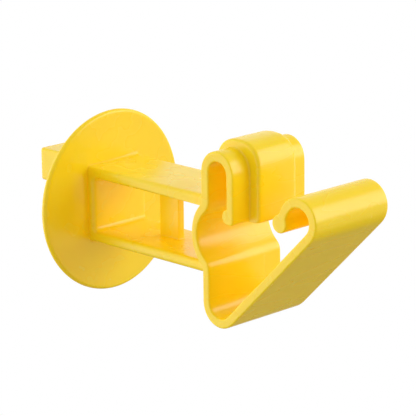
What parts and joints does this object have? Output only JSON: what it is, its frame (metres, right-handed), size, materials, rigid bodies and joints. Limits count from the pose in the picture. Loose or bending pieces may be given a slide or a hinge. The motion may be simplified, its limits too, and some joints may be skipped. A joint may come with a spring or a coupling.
{
  "type": "fence insulator",
  "caption": "Moulded electric-fence insulator: a sprung clip that wraps a steel T-post, a two-rail stand-off arm, a round shield and wire hooks behind it.",
  "frame": {"origin": "middle of the post seat, the flat face of the back wall that the back of the post's flange lies on, halfway along the post", "axes": "+X along the arm from the wire hooks towards the post's stem; +Y along the post; +Z across the post's flange from the flexing bend to the closed channel"},
  "size_m": [0.1028, 0.0486, 0.0502],
  "materials": {
    "moulding": "satin moulded polyethylene",
    "latch_moulding": "satin moulded polyethylene"
  },
  "bodies": {
    "moulding": {"shield_disc": "moulding", "arm_root_pad": "moulding", "upper_rail": "moulding", "lower_rail": "moulding", "rail_web": "moulding", "upper_hook_stem": "moulding", "upper_hook_head": "moulding", "middle_hook_stem": "moulding", "middle_hook_head": "moulding", "lower_hook_stem": "moulding", "lower_hook_head": "moulding", "channel_inner_leg": "moulding", "channel_crown": "moulding", "channel_outer_leg": "moulding", "channel_lip": "moulding", "channel_saddle": "moulding", "stud_pocket": "moulding", "back_wall": "moulding", "flex_bend": "moulding"},
    "latch": {"latch_arm": "latch_moulding", "latch_curl": "latch_moulding", "latch_lip": "latch_moulding"}
  },
  "joints": [
    {"name": "latch_flex", "type": "hinge", "parent": "moulding", "child": "latch", "pos_m": [0.00365, 0, -0.0044], "axis": [0, 1, 0], "range_deg": [-6, 22], "stiffness_Nm_per_rad": 2.6}
  ]
}
